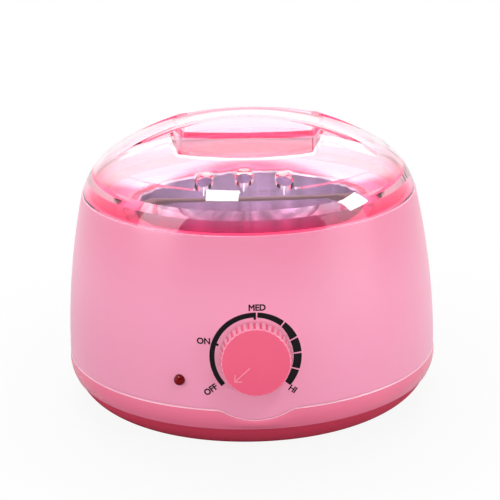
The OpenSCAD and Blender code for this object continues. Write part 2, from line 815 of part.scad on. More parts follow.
// Half section of the lid's dome, drawn in by an inset
module dome_2d(inset, low) {
    intersection() {
        translate([0, low]) square(far);
        translate(crown_c) circle(crown_r - inset, $fn = fine_fn);
        union() {
            translate([0, low]) square([(crown_r - inset) * touch_u.x, far]);
            translate(shoulder_c) circle(shoulder_r - inset);
        }
    }
}

// Space that a finger scoop and its groove take out of the lid, enlarged by grow
module scoop(grow) {
    end_x = grip_half_l + grip_end + grow;
    low_x = grip_half_l + grow * (sqrt(2) - 1);
    slant_z = grip_end - grow * (sqrt(2) - 1);
    face_c = -grip_w / 2 - grip_face_r;
    intersection() {
        translate([0, face_c, rim_z]) cylinder(r = grip_face_r + grow, h = 2 * lid_h);
        translate([0, 0, scoop_floor - grip_w / 2 * tan(grip_tilt)]) rotate([90 - grip_tilt, 0, 0])
            linear_extrude(height = rim_d / 2) polygon([
                [-low_x, -grow], [low_x, -grow], [end_x, slant_z],
                [end_x, lid_h], [-end_x, lid_h], [-end_x, slant_z]
            ]);
    }
    difference() {
        intersection() {
            translate([0, face_c, groove_low]) cylinder(r = grip_face_r + grow, h = lid_h);
            translate([0, groove_r - groove_reach, groove_low]) cylinder(r = groove_r + grow, h = lid_h);
        }
        translate([0, 0, -groove_depth - grow]) rotate_extrude() dome_2d(0, rim_z);
    }
}

module lid_cover() {
    color("#f7b6d2", 0.4) rotate([0, 0, lid_turn]) difference() {
        union() {
            difference() {
                rotate_extrude() dome_2d(0, lid_low);
                scoop(0);
                rotate([0, 0, 180]) scoop(0);
                difference() {
                    rotate_extrude() dome_2d(lid_t, rim_z - cut);
                    scoop(lid_t);
                    rotate([0, 0, 180]) scoop(lid_t);
                }
            }
            rotate_extrude() ring_2d(skirt_r - lid_t, skirt_r, rim_z - skirt_drop, skirt_top);
        }
        for (i = [0:vent_count - 1]) translate([(i - (vent_count - 1) / 2) * vent_pitch, -vent_y, rim_z])
            cylinder(d = vent_d, h = lid_h);
    }
}

outer_shell();
base_pan();
rubber_feet();
base_screws();
heater_cup();
cup_stud();
stud_nut();
heating_band();
insulating_wrap();
wrap_straps();
shield_plate();
thermal_fuse();
fuse_clip();
thermostat_block();
thermostat_neck_nut();
contact_blades();
control_shaft();
control_knob();
knob_clip();
indicator_lamp();
lamp_holder();
lamp_resistor();
terminal_block();
terminal_screws();
cord_gland();
cord_clamp();
clamp_screws();
inner_pot();
pot_bail();
lid_cover();
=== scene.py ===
# %% [markdown]
# # A wax warmer with a clear lid
# This lesson dresses a table warmer for wax: a round pink body, a deeper pink base, a clear lid, an aluminium pot
# and a fluted knob with a printed dial. The solids already exist, so they are loaded first as a fixed frame.
# Everything here is in metres, with +Z up and the knob towards -Y.

# %% Load the solids and keep their box
import json
import math

import bpy
from mathutils import Matrix, Vector


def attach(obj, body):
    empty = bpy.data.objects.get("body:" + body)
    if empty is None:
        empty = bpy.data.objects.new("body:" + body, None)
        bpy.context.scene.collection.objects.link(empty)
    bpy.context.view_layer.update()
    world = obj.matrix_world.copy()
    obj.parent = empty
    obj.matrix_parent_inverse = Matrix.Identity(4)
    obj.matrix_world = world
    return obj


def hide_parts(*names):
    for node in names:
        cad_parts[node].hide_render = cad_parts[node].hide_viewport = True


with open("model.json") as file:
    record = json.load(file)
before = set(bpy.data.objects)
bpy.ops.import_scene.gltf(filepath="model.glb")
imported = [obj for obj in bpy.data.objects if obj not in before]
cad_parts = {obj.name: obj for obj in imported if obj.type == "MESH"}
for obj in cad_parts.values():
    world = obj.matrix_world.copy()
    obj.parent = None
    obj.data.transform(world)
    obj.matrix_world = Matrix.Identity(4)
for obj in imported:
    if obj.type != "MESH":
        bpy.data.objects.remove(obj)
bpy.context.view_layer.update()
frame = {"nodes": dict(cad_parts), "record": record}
MM = 0.001

# %% [markdown]
# ## The camera
# The view is a little above the lid, from far off with a long lens, so the round body keeps its true outline.
# Blender could aim a camera with a constraint, but a rotation that is worked out once is easier to read.
# The camera leans a little to one side.

# %% Place the camera
CAMERA_FROM = Vector((-14.2, -853.1, 348.0)) * MM
CAMERA_AIM = Vector((0, 0, 68.7)) * MM
CAMERA_LEAN = math.radians(-1.29)
CAMERA_LENS = 131.6
CAMERA_SENSOR = 36
CAMERA_REACH = 10

bpy.ops.object.select_all(action="DESELECT")
bpy.ops.object.camera_add(location=CAMERA_FROM)
camera = bpy.context.object
aim = (CAMERA_AIM - CAMERA_FROM).to_track_quat("-Z", "Y").to_matrix()
camera.rotation_euler = (aim @ Matrix.Rotation(CAMERA_LEAN, 3, "Z")).to_euler()
camera.data.lens = CAMERA_LENS
camera.data.sensor_width = CAMERA_SENSOR
camera.data.clip_end = CAMERA_REACH
bpy.context.scene.camera = camera
print("camera:", round((CAMERA_AIM - CAMERA_FROM).length, 3), "m from its aim")

# %% [markdown]
# ## Sums for the shaders
# A finish is a small network of nodes. Writing it as a sum, such as `1 - mask * 0.3`, reads better than a list of
# links, so one class wraps a socket and turns each operator into a Math node. Its `node` method adds any other node:
# first its settings, then the values or links of its sockets.

# %% A socket that can be used in sums
class Wire:
    """A socket that takes part in Python sums; every operator adds a Math node to its tree."""

    def __init__(self, tree, socket=None):
        self.tree = tree
        self.socket = socket

    def node(self, kind, settings=None, sockets=None, out=0):
        made = self.tree.nodes.new("ShaderNode" + kind)
        for name, value in (settings or {}).items():
            setattr(made, name, value)
        for name, value in (sockets or {}).items():
            if isinstance(value, Wire):
                self.tree.links.new(value.socket, made.inputs[name])
            else:
                made.inputs[name].default_value = value
        return Wire(self.tree, made.outputs[out])

    def math(self, operation, first, second):
        return self.node("Math", {"operation": operation}, {0: first, 1: second})

    def __add__(self, other):
        return self.math("ADD", self, other)

    def __rsub__(self, other):
        return self.math("SUBTRACT", other, self)

    def __mul__(self, other):
        return self.math("MULTIPLY", self, other)

    def feed(self, socket):
        self.tree.links.new(self.socket, socket)


print("Wire:", "sums of sockets are ready")

# %% [markdown]
# ## Noise, bumps and a blank finish
# Some things repeat in nearly every finish: a noise on the object's own coordinates, a soft rise from 0 to 1, a mix of
# two colours by a mask and a bump. Each gets a helper. Values that are the same all over are set on the shader's own
# sockets.

# %% Helpers that the finishes share
def blank_finish(name, **constants):
    """A new material: its shader with the constant sockets set, and a wire to start sums from."""
    material = bpy.data.materials.new(name)
    material.use_nodes = True
    shader = material.node_tree.nodes["Principled BSDF"]
    for socket, value in constants.items():
        shader.inputs[socket.replace("_", " ")].default_value = value
    return material, shader, Wire(material.node_tree)


def noise(wire, scale, detail=2, stretch=(1, 1, 1)):
    """A soft noise from 0 to 1 on the object's coordinates, with scale in bumps per metre."""
    place = wire.node("TexCoord", out="Object")
    place = wire.node("Mapping", {}, {"Vector": place, "Scale": stretch})
    return wire.node("TexNoise", {}, {"Vector": place, "Scale": scale, "Detail": detail})


def split(wire, vector, axis):
    """One coordinate of a vector."""
    return wire.node("SeparateXYZ", {}, {0: vector}, out=axis)


def soft_step(wire, value, low, high, start=0.0):
    """A soft rise from start to 1 while the value goes from low to high."""
    limits = {"Value": value, "From Min": low, "From Max": high, "To Min": start}
    return wire.node("MapRange", {"interpolation_type": "SMOOTHSTEP"}, limits)


def blend_colours(wire, mask, first, second):
    """One colour where the mask is 0 and another where it is 1."""
    return wire.node("Mix", {"data_type": "RGBA"}, {0: mask, 6: (*first, 1), 7: (*second, 1)}, out=2)


def bump(wire, height, shader, strength, distance):
    """Feeds a height into the shader's normal."""
    made = wire.node("Bump", {}, {"Height": height, "Strength": strength, "Distance": distance})
    made.feed(shader.inputs["Normal"])


def shade(colour, factor):
    return tuple(channel * factor for channel in colour)


def surface_of(material):
    """The socket that a material's shader goes to."""
    return material.node_tree.nodes["Material Output"].inputs["Surface"]


print("helpers:", "finish, noise, rise, colours and bump")

# %% [markdown]
# ## Moulded plastic
# Body, base and knob are injection moulded in pink. Such plastic is glossy, but never perfect: its colour drifts a
# little where the melt flowed, its gloss is uneven and the skin has a faint orange peel. All three come from noises of
# different size, kept weak. The body's pink also gets a little deeper towards the top: that is painted shade below the
# lid.

# %% Pink plastics
FLOW_SCALE = 14
FLOW_STRETCH = (1, 1, 0.35)
FLOW_DRIFT = 0.03
GLOSS_SCALE = 60
GLOSS_DRIFT = 0.06
COAT_SCALE = 25
PEEL_SCALE = 420
PEEL_DEPTH = 0.0004
TOP_SHADE_RAMP = (0.060, 0.104)
TOP_SHADE_SHARE = 0.85


def height_ramp(wire, low, high):
    """0 below one height and 1 above another, with a soft rise between."""
    return soft_step(wire, split(wire, wire.node("TexCoord", out="Object"), "Z"), low, high)


def moulded_plastic(name, colour, roughness, peel=0.05, gleam=0.5, coat=0.2, top=None):
    material, shader, wire = blank_finish(name, IOR=1.5, Coat_Roughness=0.25, Specular_IOR_Level=gleam)
    flow = noise(wire, FLOW_SCALE, 3, FLOW_STRETCH)
    # painted shade: towards the top the colour turns to a deeper pink
    if top:
        flow = flow * (1 - TOP_SHADE_SHARE) + height_ramp(wire, *TOP_SHADE_RAMP) * TOP_SHADE_SHARE
    pale = shade(colour, 1 + FLOW_DRIFT)
    deep = top or shade(colour, 1 - FLOW_DRIFT)
    blend_colours(wire, flow, pale, deep).feed(shader.inputs["Base Color"])
    (noise(wire, GLOSS_SCALE, 3) * GLOSS_DRIFT + (roughness - GLOSS_DRIFT / 2)).feed(shader.inputs["Roughness"])
    (noise(wire, COAT_SCALE) * coat + coat / 2).feed(shader.inputs["Coat Weight"])
    bump(wire, noise(wire, PEEL_SCALE), shader, peel, PEEL_DEPTH)
    return material


BODY_PINK = (0.85, 0.30, 0.46)
# painted shade: the deeper pink that the body's top turns to
BODY_TOP_SHADE = (0.83, 0.235, 0.385)
BASE_PINK = (0.82, 0.16, 0.28)
# painted shade: the plinth's darker pink, with little gloss
PLINTH_SHADE_PINK = (0.58, 0.05, 0.10)
# painted highlight: the paler pink along the seam's rounded edge
SEAM_HIGHLIGHT_PINK = (0.93, 0.52, 0.64)
KNOB_PINK = (0.82, 0.09, 0.19)
# painted highlight: the paler pink on the knob's flute crests and face edge
KNOB_HIGHLIGHT_PINK = (0.94, 0.36, 0.50)
body_plastic = moulded_plastic("body_pink", BODY_PINK, 0.30, top=BODY_TOP_SHADE)
base_plastic = moulded_plastic("base_pink", BASE_PINK, 0.25)
plinth_shade_plastic = moulded_plastic("plinth_shade_pink", PLINTH_SHADE_PINK, 0.5, gleam=0.04, coat=0.0)
seam_highlight_plastic = moulded_plastic("seam_highlight_pink", SEAM_HIGHLIGHT_PINK, 0.3)
knob_plastic = moulded_plastic("knob_pink", KNOB_PINK, 0.34, 0.08)
knob_highlight_plastic = moulded_plastic("knob_highlight_pink", KNOB_HIGHLIGHT_PINK, 0.2, 0.08, coat=0.4)
print("plastics:", 6)

# %% [markdown]
# ## Clear tinted plastic
# The lid is clear plastic with a pink dye in it. The dye takes light all along its way through the wall, so a thin
# wall looks pale and an edge looks deep: that is an absorbing volume, not a painted surface. The surface adds a tint
# that is deep at the lid's edge and fades with height. Lamps reach the pot through a plain transparent shader, because
# a renderer follows few light paths through true glass.

# %% Clear lid
TINT_LOW = (0.98, 0.26, 0.44)
TINT_HIGH = (0.99, 0.955, 1.0)
TINT_FROM = 0.100
TINT_TO = 0.118
LID_DYE = (0.99, 0.25, 0.36)
LID_DENSITY = 8
LET_THROUGH = (0.96, 0.84, 0.90, 1)
HAZE_SCALE = 30
HAZE_DRIFT = 0.03
HAZE_LEAST = 0.01


def clear_plastic(name, dye, density):
    material, shader, wire = blank_finish(name, IOR=1.49, Transmission_Weight=1.0)
    paler = height_ramp(wire, TINT_FROM, TINT_TO)
    blend_colours(wire, paler, TINT_LOW, TINT_HIGH).feed(shader.inputs["Base Color"])
    (noise(wire, HAZE_SCALE) * HAZE_DRIFT + HAZE_LEAST).feed(shader.inputs["Roughness"])
    through = wire.node("BsdfTransparent", {}, {"Color": LET_THROUGH})
    lamp_ray = wire.node("LightPath", out="Is Shadow Ray")
    mixed = wire.node("MixShader", {}, {0: lamp_ray, 1: Wire(wire.tree, shader.outputs[0]), 2: through})
    mixed.feed(surface_of(material))
    dyed = wire.node("VolumeAbsorption", {}, {"Color": (*dye, 1), "Density": density})
    dyed.feed(material.node_tree.nodes["Material Output"].inputs["Volume"])
    return material


lid_plastic = clear_plastic("lid_clear", LID_DYE, LID_DENSITY)
print("clear plastic:", lid_plastic.name)

# %% [markdown]
# ## Metals
# The pot is drawn aluminium, brushed up and down, so its noise is stretched along the height. Broad bright and dark
# streaks, upright on the wall and like rays on the floor, are painted reflection of the room's bright bands, over the
# drawn metal's own uneven tone: their noise only knows the way out from the axis. Plated steel and brass inside the
# body get the same treatment with their own colours and a finer grain.

# %% Aluminium, steel and brass
STREAK_SCALE = 6
STREAK_FROM = 0.35
STREAK_TO = 0.65
TONE_DARK = 0.88
TONE_BRIGHT = 1.08
STREAK_DARK = 0.3
STREAK_BRIGHT = 0.08
BRUSH_BUMP = 0.12
BRUSH_DEPTH = 0.0002


def brushed_metal(name, colour, roughness, stretch, scale=700, grain=0.12, reflection_streaks=0.0):
    material, shader, wire = blank_finish(name, Metallic=1.0)
    lines = noise(wire, scale, 3, stretch)
    place = wire.node("TexCoord", out="Object")
    outwards = wire.node("VectorMath", {"operation": "MULTIPLY"}, {0: place, 1: (1, 1, 0)})
    outwards = wire.node("VectorMath", {"operation": "NORMALIZE"}, {0: outwards})
    rays_out = wire.node("TexNoise", {}, {"Vector": outwards, "Scale": STREAK_SCALE, "Detail": 1})
    reflection_bands = wire.node("MapRange", {}, {"Value": rays_out, "From Min": STREAK_FROM, "From Max": STREAK_TO})
    # painted reflection: the broad streaks lighten and darken the metal's colour
    tone = lines * (1 - reflection_streaks) + reflection_bands * reflection_streaks
    dark = shade(colour, TONE_DARK - STREAK_DARK * reflection_streaks)
    bright = shade(colour, TONE_BRIGHT + STREAK_BRIGHT * reflection_streaks)
    blend_colours(wire, tone, dark, bright).feed(shader.inputs["Base Color"])
    (lines * grain + (roughness - grain / 2)).feed(shader.inputs["Roughness"])
    bump(wire, lines, shader, BRUSH_BUMP, BRUSH_DEPTH)
    return material


UPRIGHT = (1, 1, 0.02)
EVEN = (1, 1, 1)
pot_metal = brushed_metal("pot_aluminium", (0.82, 0.75, 0.86), 0.22, UPRIGHT, reflection_streaks=0.85)
cup_metal = brushed_metal("cup_aluminium", (0.76, 0.75, 0.78), 0.32, UPRIGHT)
shaft_metal = brushed_metal("shaft_aluminium", (0.74, 0.74, 0.75), 0.30, EVEN)
# painted dark reflection: the steel bail is given a dark brown
wire_metal = brushed_metal("bail_steel", (0.22, 0.15, 0.15), 0.35, EVEN, 300)
steel = brushed_metal("plated_steel", (0.60, 0.61, 0.64), 0.34, EVEN, 500)
brass = brushed_metal("contact_brass", (0.76, 0.57, 0.28), 0.30, EVEN, 500)
fuse_metal = brushed_metal("fuse_case", (0.75, 0.75, 0.77), 0.28, EVEN, 500)
print("metals:", 7)

# %% [markdown]
# ## Matt and printed surfaces
# Rubber, insulators, cloth and printing ink are matt. They differ in colour, in how coarse their noise is and in how
# deep it is, so one function makes them all.

# %% Rubber, insulators, cloth and ink
MATT_DRIFT = 0.15
MATT_DROP = 0.07
MATT_BUMP = 0.3


def matt_finish(name, colour, roughness, scale, depth, spread=0.08, gleam=0.5):
    material, shader, wire = blank_finish(name, Specular_IOR_Level=gleam)
    grain = noise(wire, scale, 4)
    blend_colours(wire, grain, shade(colour, 1 - spread), shade(colour, 1 + spread)).feed(shader.inputs["Base Color"])
    (grain * MATT_DRIFT + (roughness - MATT_DROP)).feed(shader.inputs["Roughness"])
    bump(wire, grain, shader, MATT_BUMP, depth)
    return material


rubber = matt_finish("foot_rubber", (0.05, 0.045, 0.05), 0.75, 900, 0.0002)
gland_rubber = matt_finish("gland_rubber", (0.09, 0.08, 0.085), 0.7, 900, 0.0002)
insulator = matt_finish("white_insulator", (0.85, 0.83, 0.78), 0.6, 700, 0.0001)
black_plastic = matt_finish("black_plastic", (0.03, 0.03, 0.034), 0.45, 600, 0.0001)
resistor_lacquer = matt_finish("resistor_body", (0.20, 0.32, 0.52), 0.3, 300, 0.0001)
mica = matt_finish("heater_sheet", (0.66, 0.48, 0.28), 0.5, 250, 0.0002, 0.2)
cloth = matt_finish("wrap_cloth", (0.84, 0.82, 0.75), 0.9, 1500, 0.0004, 0.12)
ink = matt_finish("printed_ink", (0.006, 0.004, 0.006), 0.6, 2500, 0.00002, 0.2, 0.15)
# painted highlight: the raised arrow's paler pink
arrow_highlight_pink = matt_finish("arrow_highlight_pink", (0.87, 0.24, 0.34), 0.4, 900, 0.00005)
print("matt finishes:", 9)

# %% The lamp's red lens
LENS_SCALE = 250
LENS_SPREAD = 0.2
LENS_HAZE = 0.05
LENS_COAT = 0.02


def red_lens(name, colour):
    material, shader, wire = blank_finish(name, IOR=1.5, Coat_Roughness=0.03, Specular_IOR_Level=0.12)
    depth = noise(wire, LENS_SCALE)
    dark = shade(colour, 1 - LENS_SPREAD)
    blend_colours(wire, depth, dark, shade(colour, 1 + LENS_SPREAD)).feed(shader.inputs["Base Color"])
    (depth * LENS_HAZE + LENS_HAZE).feed(shader.inputs["Roughness"])
    (depth * (2 * LENS_COAT) + LENS_COAT).feed(shader.inputs["Coat Weight"])
    return material


lamp_lens = red_lens("lamp_red", (0.17, 0.002, 0.004))
print("lens:", lamp_lens.name)

# %% [markdown]
# ## Spun pieces
# Shell, base, pot and the knob's face are bodies of revolution, so each is an outline that is spun once round. The
# outline is drawn from one vertex by extruding it from point to point, as by hand, and its round stretches are arcs. A
# bevel rounds the sharp edges, which real mouldings never have: those small rounds catch the light along rim and seam.

# %% Draw an outline and spin it
MERGE = 1e-6


def arc(start, end, bulge, steps):
    """Points from start to end on an arc that stands out to the right of the way by bulge."""
    start = Vector(start)
    end = Vector(end)
    chord = end - start
    radius = chord.length_squared / (8 * bulge) + bulge / 2
    centre = (start + end) / 2 + Vector((chord.y, -chord.x)).normalized() * (bulge - radius)
    turn = (start - centre).angle_signed(end - centre)
    return [centre + Matrix.Rotation(-turn * i / steps, 2) @ (start - centre) for i in range(steps + 1)]


def deselect():
    if bpy.context.object and bpy.context.object.mode != "OBJECT":
        bpy.ops.object.mode_set(mode="OBJECT")
    bpy.ops.object.select_all(action="DESELECT")


def activate(piece):
    deselect()
    piece.select_set(True)
    bpy.context.view_layer.objects.active = piece


def edit_all(piece):
    """Opens a piece for editing, with all of it selected."""
    activate(piece)
    bpy.ops.object.mode_set(mode="EDIT")
    bpy.ops.mesh.select_all(action="SELECT")


def one_vertex(at):
    """A new mesh of one vertex, open for editing."""
    deselect()
    bpy.ops.mesh.primitive_plane_add(size=1, location=(0, 0, 0))
    piece = bpy.context.object
    edit_all(piece)
    bpy.ops.mesh.merge(type="CENTER")
    bpy.ops.transform.translate(value=at)
    return piece


def join_pieces(pieces, name):
    activate(pieces[0])
    for piece in pieces:
        piece.select_set(True)
    if len(pieces) > 1:
        bpy.ops.object.join()
    joined = bpy.context.object
    joined.name = joined.data.name = name
    return joined


def apply_modifier(piece, kind, **settings):
    activate(piece)
    modifier = piece.modifiers.new(kind, kind)
    for name, value in settings.items():
        setattr(modifier, name, value)
    bpy.ops.object.modifier_apply(modifier=modifier.name)


def draw_outline(name, points):
    """A closed chain of vertices in the XZ plane, through points (radius, height) in millimetres."""
    here = Vector((points[0][0], 0, points[0][1])) * MM
    piece = one_vertex(here)
    piece.name = piece.data.name = name
    for radius, height in [*points[1:], points[0]]:
        there = Vector((radius, 0, height)) * MM
        bpy.ops.mesh.extrude_region_move(TRANSFORM_OT_translate={"value": there - here})
        here = there
    bpy.ops.mesh.select_all(action="SELECT")
    bpy.ops.mesh.remove_doubles(threshold=MERGE)
    bpy.ops.object.mode_set(mode="OBJECT")
    return piece


def spin_outline(name, points, steps):
    piece = draw_outline(name, points)
    edit_all(piece)
    bpy.ops.mesh.spin(steps=steps, angle=math.tau, center=(0, 0, 0), axis=(0, 0, 1))
    bpy.ops.mesh.select_all(action="SELECT")
    bpy.ops.mesh.remove_doubles(threshold=MERGE)
    bpy.ops.mesh.delete_loose()
    bpy.ops.mesh.select_all(action="SELECT")
    bpy.ops.mesh.normals_make_consistent(inside=False)
    bpy.ops.object.mode_set(mode="OBJECT")
    return piece


def round_edges(piece, width, sharp=28):
    apply_modifier(piece, "BEVEL", width=width * MM, segments=3, limit_method="ANGLE",
                   angle_limit=math.radians(sharp), use_clamp_overlap=True, harden_normals=False)


def smooth(piece, angle=32):
    activate(piece)
    bpy.ops.object.shade_smooth_by_angle(angle=math.radians(angle))


def dress(piece, body, material, slot, *nodes):
    """Gives a finished piece its finish and its body, and lets it stand for CAD nodes."""
    piece.data.materials.clear()
    piece.data.materials.append(material)
    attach(piece, body)
    if nodes:
        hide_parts(*nodes)
    print(piece.name, len(piece.data.polygons), "faces on", body)


# %% [markdown]
# ## Holes and second finishes
# Bores and posts are plain round rods, joined to a spun piece or cut from it by a Boolean while its mesh is still
# simple. Some pieces have a second finish on a few of their faces: the seam's pale edge is a painted highlight, and the
# plinth's darker pink is painted shade. Those faces are picked by where they lie.

# %% Rods, bores and chosen faces
ROD_SIDES = 64


def rods(name, ends):
    """One object of closed rods, each given by its two ends and its radius in millimetres."""
    made = []
    for start, end, radius in ends:
        way = Vector(end) - Vector(start)
        deselect()
        bpy.ops.mesh.primitive_cylinder_add(
            vertices=ROD_SIDES, radius=radius * MM, depth=way.length * MM, location=(Vector(start) + way / 2) * MM,
            rotation=way.to_track_quat("Z", "Y").to_euler())
        made.append(bpy.context.object)
    joined = join_pieces(made, name)
    bpy.ops.object.transform_apply(location=True, rotation=True, scale=True)
    return joined


def work_rods(piece, operation, ends):
    """Joins rods to a piece, or cuts them from it."""
    tool = rods("rod_tool", ends)
    apply_modifier(piece, "BOOLEAN", operation=operation, solver="EXACT", object=tool)
    bpy.data.objects.remove(tool)


def faces_where(piece, chosen):
    """The faces whose middle, in millimetres, and normal are chosen."""
    return [face.index for face in piece.data.polygons if chosen(face.center / MM, face.normal)]


def paint(piece, material, faces):
    piece.data.materials.append(material)
    for index in faces:
        piece.data.polygons[index].material_index = len(piece.data.materials) - 1
    print(piece.name, len(faces), "faces in", material.name)


# %% [markdown]
# ## The body's shell
# The wall bulges a little between seam and rim. Inside the rim a recess takes the lid's skirt, and its ledge carries
# the cup. Below the knob the shell dips into the base as a round lobe: the lower rows of vertices are drawn down there,
# which keeps the spun grid whole, where a cut would leave slivers in the gloss.

# %% Spin the shell
SEAM = (90.0, 22.0)
RIM = (80.7, 101.5)
WALL_BULGE = 2.2
SHELL_T = 2.5
RECESS_R = 76.0
LEDGE_Z = 91.1
LEDGE_R = 61.2
SPIN_STEPS = 288
WALL_STEPS = 40
INNER_STEPS = 20
INNER_OUT = 1.4
SHELL_ROUND = 0.25
KNOB_Z = 47.0
LOBE_R = 30.0
LOBE_TOP = 34.0
PAST_SEAM = 1.02
KNOB_TILT = math.radians(4.306)
LOBE_HALF = math.sqrt(LOBE_R ** 2 - ((KNOB_Z - SEAM[1]) / math.cos(KNOB_TILT)) ** 2)


def lobe_drop(x):
    """How far the seam dips below its height at x, in millimetres."""
    if abs(x) >= LOBE_HALF:
        return 0
    return SEAM[1] - KNOB_Z + math.sqrt(LOBE_R ** 2 - x ** 2) * math.cos(KNOB_TILT)


def draw_down(piece, low, high, keep_inside=0):
    """Draws the front of a spun piece down along the lobe: fully at the seam, and not at all at the other height."""
    for vertex in piece.data.vertices:
        x, y, z = vertex.co / MM
        share = (z - low) / (high - low)
        if y < 0 and 0 < share <= PAST_SEAM and math.hypot(x, y) > keep_inside:
            vertex.co.z -= lobe_drop(x) * share * MM


KNOB_OUT = Vector((0, -math.cos(KNOB_TILT), math.sin(KNOB_TILT)))
KNOB_FOOT = Vector((0, -88.977, KNOB_Z))
NECK_R = 4.6
NUT_SEAT_R = 7.53
NUT_SINK = 0.6
LAMP_R = 2.6
LAMP_Z = 34.9
LAMP_TURN = math.radians(22.7)
LAMP_BORE = (80, 95)
BORE_IN = 10
BORE_OUT = 5

wall = arc(SEAM, RIM, WALL_BULGE, WALL_STEPS)
inner_top = (RIM[0] - SHELL_T + INNER_OUT, LEDGE_Z - SHELL_T)
inner_wall = arc((SEAM[0] - SHELL_T, SEAM[1]), inner_top, WALL_BULGE, INNER_STEPS)
shell_outline = [
    *wall, (RECESS_R, RIM[1]), (RECESS_R, LEDGE_Z), (LEDGE_R, LEDGE_Z), (LEDGE_R, LEDGE_Z - SHELL_T),
    *reversed(inner_wall),
]
lamp_out = Vector((-math.sin(LAMP_TURN), -math.cos(LAMP_TURN), 0))
lamp_at = Vector((0, 0, LAMP_Z))
shell = spin_outline("body_shell", shell_outline, SPIN_STEPS)
bore_end = KNOB_FOOT + BORE_OUT * KNOB_OUT
round_edges(shell, SHELL_ROUND)
work_rods(shell, "DIFFERENCE", [
    (KNOB_FOOT - BORE_IN * KNOB_OUT, bore_end, NECK_R),
    (lamp_at + LAMP_BORE[0] * lamp_out, lamp_at + LAMP_BORE[1] * lamp_out, LAMP_R),
])
work_rods(shell, "DIFFERENCE", [(KNOB_FOOT - NUT_SINK * KNOB_OUT, bore_end, NUT_SEAT_R)])
draw_down(shell, LOBE_TOP, SEAM[1])
smooth(shell)
dress(shell, "base", body_plastic, "body_pink", "outer_shell")

# %% [markdown]
# ## The base
# Plinth and band meet in a crease, and a lip that stands up behind the seam centres the shell. The same rows are drawn
# down under the lobe, so that both seams run together.

# %% Spin the base
PLINTH_R = 79.2
PLINTH_BULGE = 1.2
FOOT_OUT = 1.5
CREASE = (88.4, 11.3)
CREASE_STEP = 1.2
CREASE_ROUND = 1.1
SEAM_ROUND = 0.7
BAND_BULGE = 0.8
BASE_T = 2.5
LIP_R = 87.1
LIP_T = 2.7
LIP_TOP = 27.0
SEAM_GAP = 0.06
FLAT_EDGE = 2.0
ROUND = 1 - math.sqrt(0.5)
BASE_ROUND = 0.2
POST_RING = 73
POST_TURNS = [math.radians(turn) for turn in (45, 135, 225, 315)]
POSTS = [(POST_RING * math.cos(turn), POST_RING * math.sin(turn)) for turn in POST_TURNS]
POST_R = 5.0
WELL_R = 3.3
WELL_DEEP = 12.5
SCREW_R = 1.65
SCREW_TOP = 30
FEET = [(62, 0), (0, 62), (-62, 0), (0, -62)]
FOOT_R = 7.15
FOOT_DEEP = 1.5
CLAMP_POSTS = [(-9.5, 70), (9.5, 70)]
CLAMP_POST_R = 3.2
CLAMP_UP = 2.8
CORD_Z = 16.65
CORD_R = 4.3
CORD_FROM = 80
CORD_TO = 100
GLAND_SEAT = 88.3
GLAND_R = 5.1
CREASE_OUT = 0.15
PLINTH_EDGE = 0.05
SEAM_EDGE = 0.75
LIP_FREE = 0.5
LIP_KEPT = 0.7
POST_SINK = 1
BAND_FROM = 1
CURVE_STEPS = 12
INSIDE_STEPS = 6
EDGE_STEPS = 5

plinth = arc((PLINTH_R, FOOT_OUT), (CREASE[0] - CREASE_STEP, CREASE[1]), PLINTH_BULGE, CURVE_STEPS)
band_low = (CREASE[0] + CREASE_OUT, CREASE[1] + CREASE_ROUND)
band_high = (SEAM[0], SEAM[1] - SEAM_GAP - SEAM_ROUND)
band = [
    *arc((CREASE[0] - CREASE_ROUND, CREASE[1]), band_low, CREASE_ROUND * ROUND, EDGE_STEPS),
    *arc(band_low, band_high, BAND_BULGE, CURVE_STEPS)[1:-1],
    *arc(band_high, (SEAM[0] - SEAM_ROUND, SEAM[1] - SEAM_GAP), SEAM_ROUND * ROUND, EDGE_STEPS),
]
inside = arc((PLINTH_R - BASE_T, FOOT_OUT + BASE_T), (LIP_R - LIP_T, CREASE[1]), PLINTH_BULGE, INSIDE_STEPS)
base_outline = [
    (0, FOOT_OUT), (PLINTH_R - FLAT_EDGE, FOOT_OUT), *plinth, *band, (LIP_R, SEAM[1] - SEAM_GAP), (LIP_R, LIP_TOP),
    (LIP_R - LIP_T, LIP_TOP), *reversed(inside), (0, FOOT_OUT + BASE_T),
]
base = spin_outline("base_pan_moulding", base_outline, SPIN_STEPS)
round_edges(base, BASE_ROUND)
floor_in = FOOT_OUT + BASE_T - POST_SINK
work_rods(base, "UNION", [((x, y, floor_in), (x, y, SEAM[1]), POST_R) for x, y in POSTS]
          + [((x, y, floor_in), (x, y, CORD_Z + CLAMP_UP), CLAMP_POST_R) for x, y in CLAMP_POSTS])
work_rods(base, "DIFFERENCE", [((x, y, 0), (x, y, FOOT_OUT + WELL_DEEP), WELL_R) for x, y in POSTS]
          + [((x, y, 0), (x, y, FOOT_OUT + FOOT_DEEP), FOOT_R) for x, y in FEET]
          + [((0, CORD_FROM, CORD_Z), (0, CORD_TO, CORD_Z), CORD_R)])
work_rods(base, "DIFFERENCE", [((x, y, FOOT_OUT), (x, y, SCREW_TOP), SCREW_R) for x, y in POSTS]
          + [((0, GLAND_SEAT, CORD_Z), (0, CORD_TO, CORD_Z), GLAND_R)])


def on_plinth(at, normal):
    return at.z < CREASE[1] - PLINTH_EDGE and at.xy.length > PLINTH_R - FLAT_EDGE


def on_seam(at, normal):
    return at.z > SEAM[1] - SEAM_EDGE and at.xy.length > LIP_R + LIP_FREE


# the plinth's faces, which get painted shade
shaded_plinth_faces = faces_where(base, on_plinth)
# the seam's rounded faces, which get a painted highlight
seam_highlight_faces = faces_where(base, on_seam)
draw_down(base, CREASE[1] + BAND_FROM, SEAM[1] - SEAM_GAP, LIP_R - LIP_KEPT)
smooth(base)
dress(base, "base", base_plastic, "base_pink", "base_pan")
# painted shade on the plinth
paint(base, plinth_shade_plastic, shaded_plinth_faces)
# painted highlight along the seam
paint(base, seam_highlight_plastic, seam_highlight_faces)

